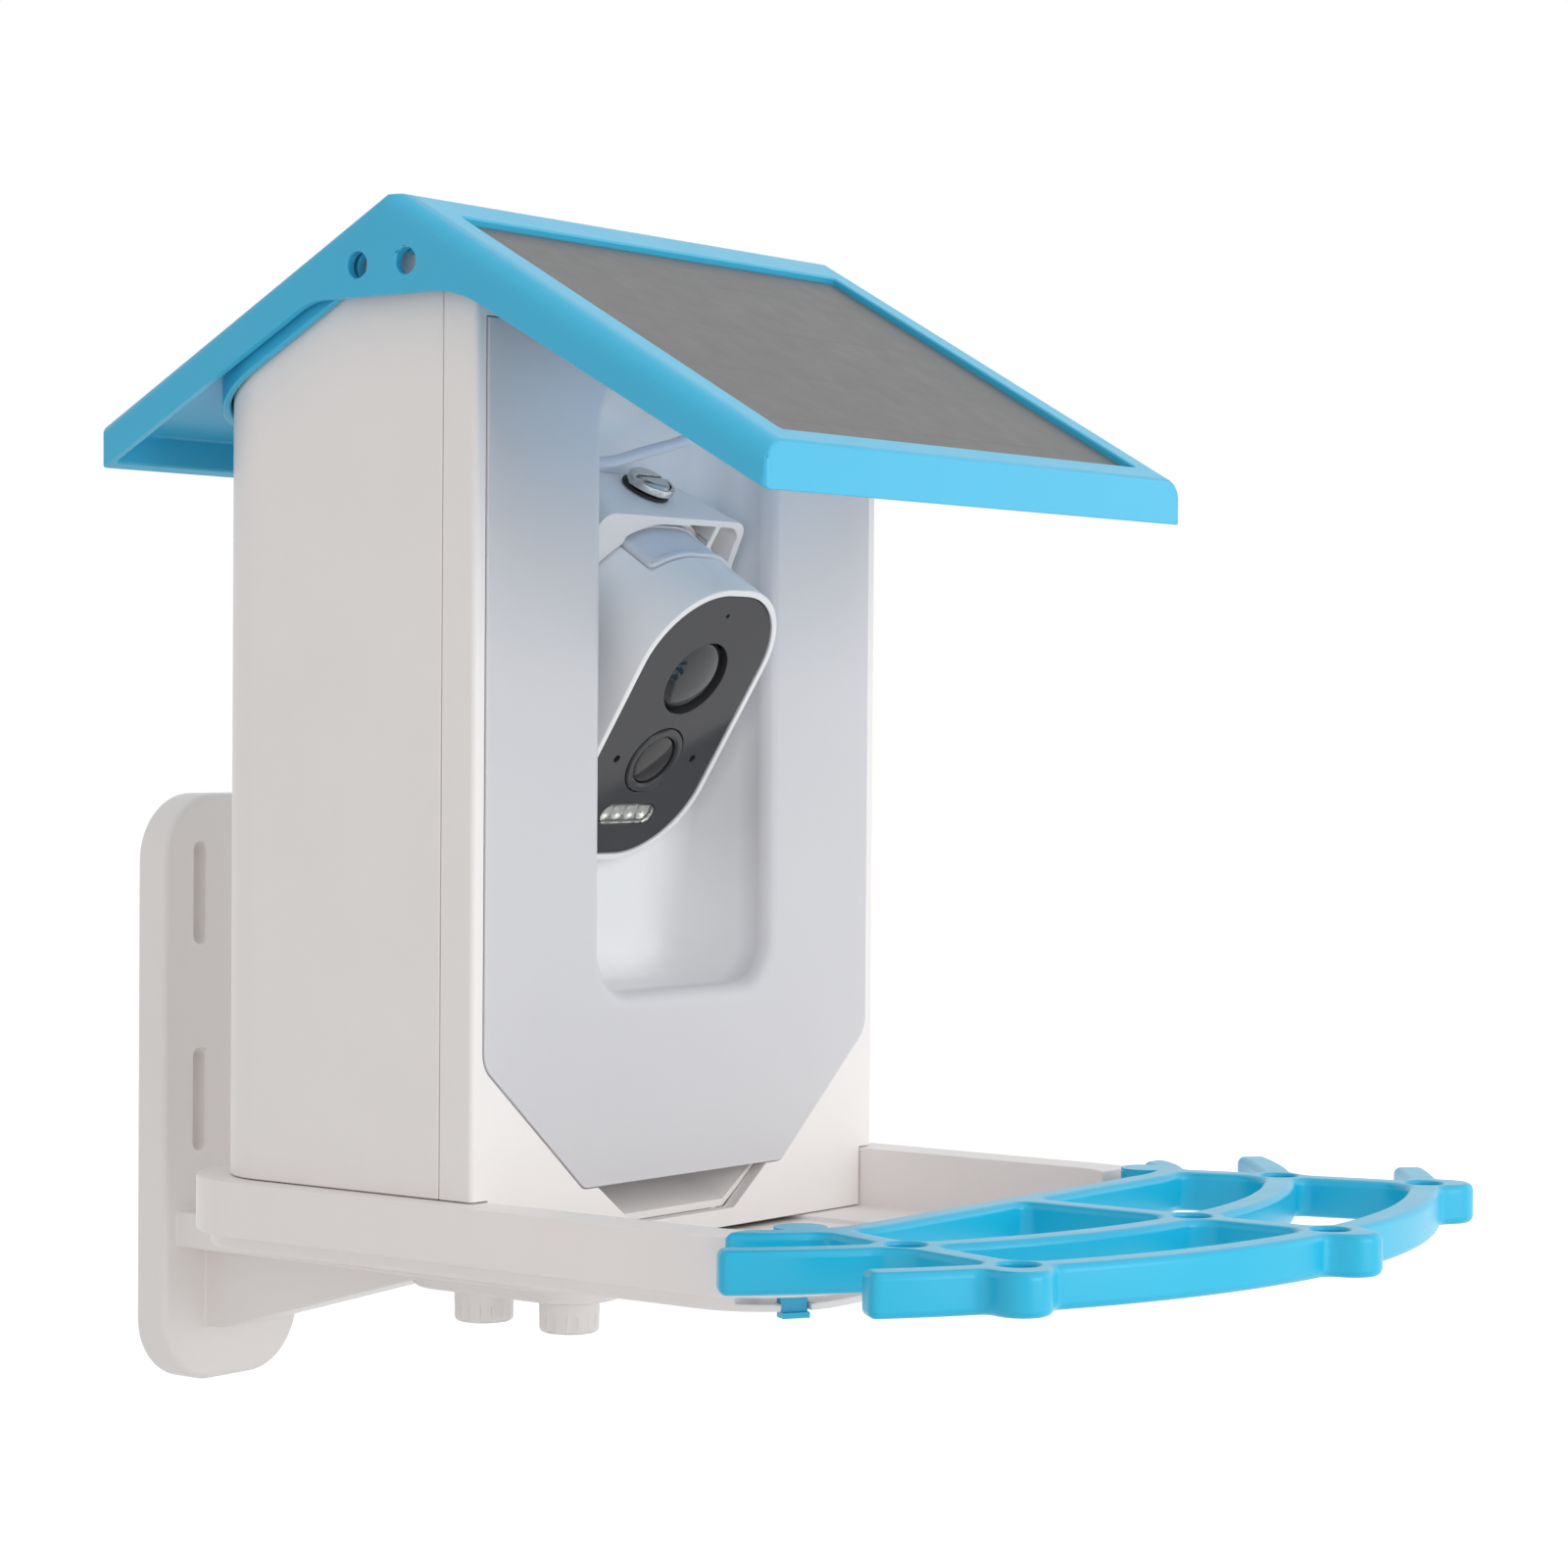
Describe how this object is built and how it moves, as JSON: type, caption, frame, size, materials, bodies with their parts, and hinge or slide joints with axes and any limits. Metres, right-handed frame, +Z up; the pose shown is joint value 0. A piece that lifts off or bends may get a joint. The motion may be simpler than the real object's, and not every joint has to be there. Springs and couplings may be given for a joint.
{
  "type": "smart bird feeder",
  "caption": "White hopper bird feeder with a tilted camera in a frosted window, a sky-blue gable roof with a solar panel, a seed tray, a blue lattice perch and a wall bracket",
  "frame": {"origin": "centre of the wall plate's flat back face", "axes": "+X to the right seen from the front, +Y into the wall, +Z up"},
  "size_m": [0.262, 0.3965, 0.3323],
  "materials": {
    "white_plastic": "satin",
    "blue_plastic": "gloss",
    "frosted_plastic": "frosted",
    "black_gloss": "gloss",
    "smoked_lens": "gloss",
    "clear_glass": "polished",
    "clear_plastic": "polished",
    "white_silicone": "matt",
    "black_rubber": "matt",
    "bright_steel": "bright",
    "brass": "turned",
    "circuit_board": "satin",
    "cell_wrap": "gloss",
    "solar_glass": "polished",
    "black_plastic": "satin"
  },
  "bodies": {
    "feeder": {"wall_bracket": "white_plastic", "tray_insert_front": "brass", "tray_insert_rear": "brass", "tray": "white_plastic", "tray_screw_1": "bright_steel", "tray_screw_2": "bright_steel", "tray_screw_3": "bright_steel", "tray_screw_4": "bright_steel", "house_shell": "white_plastic", "front_frame": "white_plastic", "window_panel": "frosted_plastic", "seed_funnel": "white_plastic", "camera_cradle": "white_plastic", "cradle_screw_left": "bright_steel", "cradle_screw_right": "bright_steel", "camera_housing": "white_plastic", "camera_faceplate": "black_gloss", "face_gasket": "black_rubber", "pir_lens": "smoked_lens", "lens_ring": "black_plastic", "lens_glass": "clear_glass", "led_window": "clear_plastic", "led_board": "circuit_board", "usb_socket": "bright_steel", "camera_board": "circuit_board", "camera_battery_left": "cell_wrap", "camera_battery_right": "cell_wrap", "tripod_insert": "brass", "screw_washer": "black_rubber", "cable_plug": "white_silicone", "solar_cable": "white_silicone", "cable_grommet_back": "white_silicone", "cable_grommet_top": "white_silicone", "perch": "blue_plastic"},
    "roof": {"roof_shell": "blue_plastic", "solar_panel": "solar_glass", "junction_box": "black_plastic", "hinge_pin_left": "bright_steel", "hinge_pin_right": "bright_steel"},
    "front_thumb_screw": {"thumb_screw_front": "white_plastic"},
    "rear_thumb_screw": {"thumb_screw_rear": "white_plastic"},
    "camera_screw": {"ring_screw": "bright_steel"},
    "camera_screw_bail": {"ring_bail": "bright_steel"},
    "port_cover": {"usb_cover": "white_silicone"},
    "button": {"reset_button": "black_plastic"}
  },
  "joints": [
    {"name": "roof_hinge", "type": "hinge", "parent": "feeder", "child": "roof", "pos_m": [0, -0.081, 0.1868], "axis": [-1, 0, 0], "range_deg": [0, 70]},
    {"name": "front_thumb_screw_turn", "type": "hinge", "parent": "feeder", "child": "front_thumb_screw", "pos_m": [0, -0.1436, -0.0562], "axis": [0, 0, 1], "continuous": true},
    {"name": "rear_thumb_screw_turn", "type": "hinge", "parent": "feeder", "child": "rear_thumb_screw", "pos_m": [0, -0.1119, -0.0562], "axis": [0, 0, 1], "continuous": true},
    {"name": "camera_screw_turn", "type": "hinge", "parent": "feeder", "child": "camera_screw", "pos_m": [0, -0.16947, 0.17456], "axis": [0, -0.5408, 0.8411], "continuous": true},
    {"name": "bail_flip", "type": "hinge", "parent": "camera_screw", "child": "camera_screw_bail", "pos_m": [0, -0.17028, 0.17582], "axis": [-1, 0, 0], "range_deg": [0, 50]},
    {"name": "port_cover_lift", "type": "hinge", "parent": "feeder", "child": "port_cover", "pos_m": [0, -0.17465, 0.1632], "axis": [-1, 0, 0], "range_deg": [0, 20], "stiffness_Nm_per_rad": 0.004},
    {"name": "button_press", "type": "slide", "parent": "feeder", "child": "button", "axis": [0, 0.5408, -0.8411], "range_m": [0, 0.0006], "stiffness_N_per_m": 400, "springref_m": -0.0005}
  ]
}
